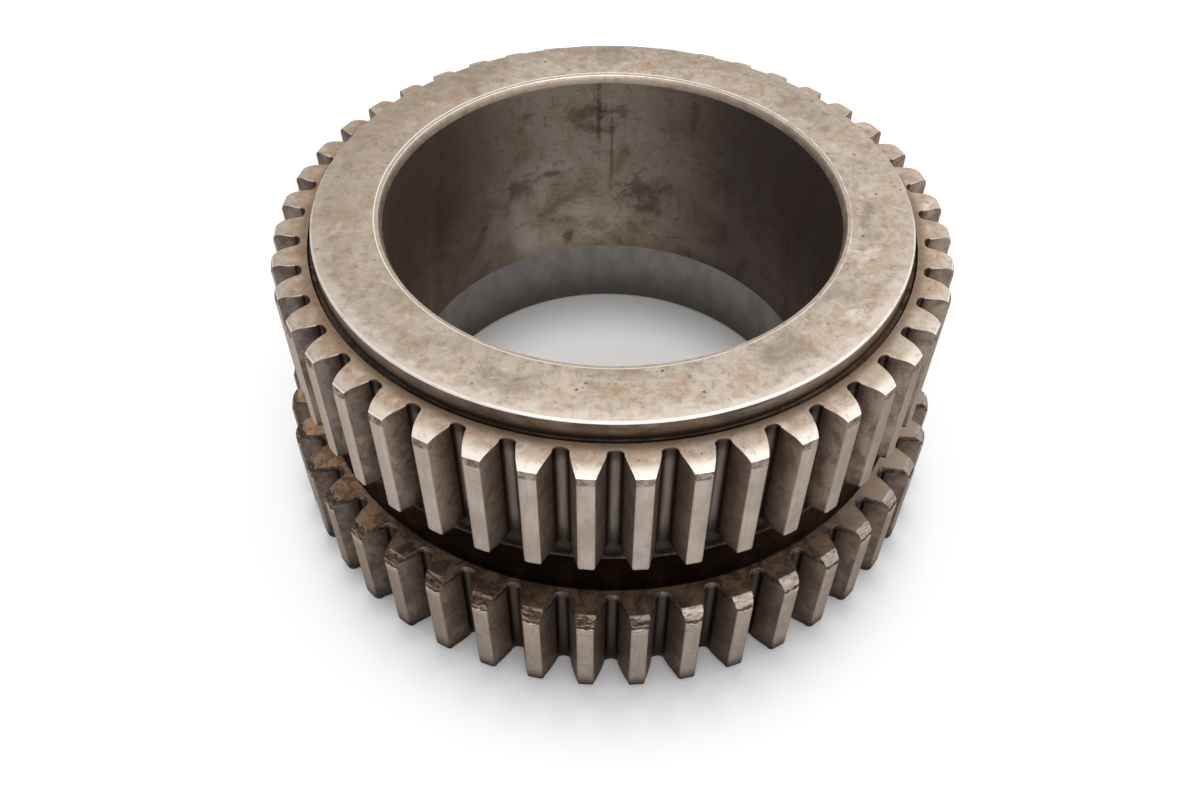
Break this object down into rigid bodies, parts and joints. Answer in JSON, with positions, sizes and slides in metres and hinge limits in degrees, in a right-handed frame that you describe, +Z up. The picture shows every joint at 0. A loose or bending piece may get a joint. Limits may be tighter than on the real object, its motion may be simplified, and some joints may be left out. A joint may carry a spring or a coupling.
{
  "type": "double-row spur gear ring",
  "caption": "Heavy steel gear ring with two rows of straight teeth split by a turned groove, a raised hub rim and a wide plain bore.",
  "frame": {"origin": "on the bore axis, at the flat lower face that the ring stands on", "axes": "+Z up along the bore axis, towards the hub rim; a tooth of each row is centred on -Y"},
  "size_m": [0.1944, 0.1944, 0.0905],
  "materials": {
    "machined_steel": "worn machined steel with brown oil stains"
  },
  "bodies": {
    "root": {"gear_ring": "machined_steel"}
  },
  "joints": []
}
